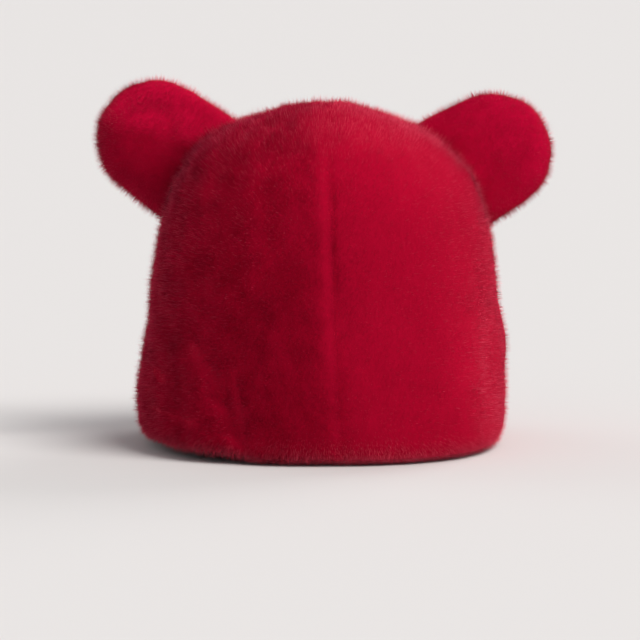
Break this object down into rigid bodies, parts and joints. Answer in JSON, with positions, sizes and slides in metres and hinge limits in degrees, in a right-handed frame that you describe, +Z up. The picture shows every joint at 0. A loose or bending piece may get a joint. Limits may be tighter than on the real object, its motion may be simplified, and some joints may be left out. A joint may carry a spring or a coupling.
{
  "type": "fur beanie with round ears",
  "caption": "Thick plush fur beanie with a domed crown, a parted front seam, a soft rounded rim that it stands on, and round padded ears at its top corners.",
  "frame": {"origin": "middle of the whole object's box, on the surface that the rim stands on", "axes": "+Z up through the crown, +X to the right as seen from the front, -Y out of the front"},
  "size_m": [0.2543, 0.2296, 0.2028],
  "materials": {
    "crown_fur": "dense crimson plush pile with soft pink sheen at its tips",
    "ear_fur": "dense crimson plush pile with soft pink sheen at its tips"
  },
  "bodies": {
    "root": {"crown_left": "crown_fur", "crown_right": "crown_fur", "ear_left": "ear_fur", "ear_right": "ear_fur"}
  },
  "joints": []
}
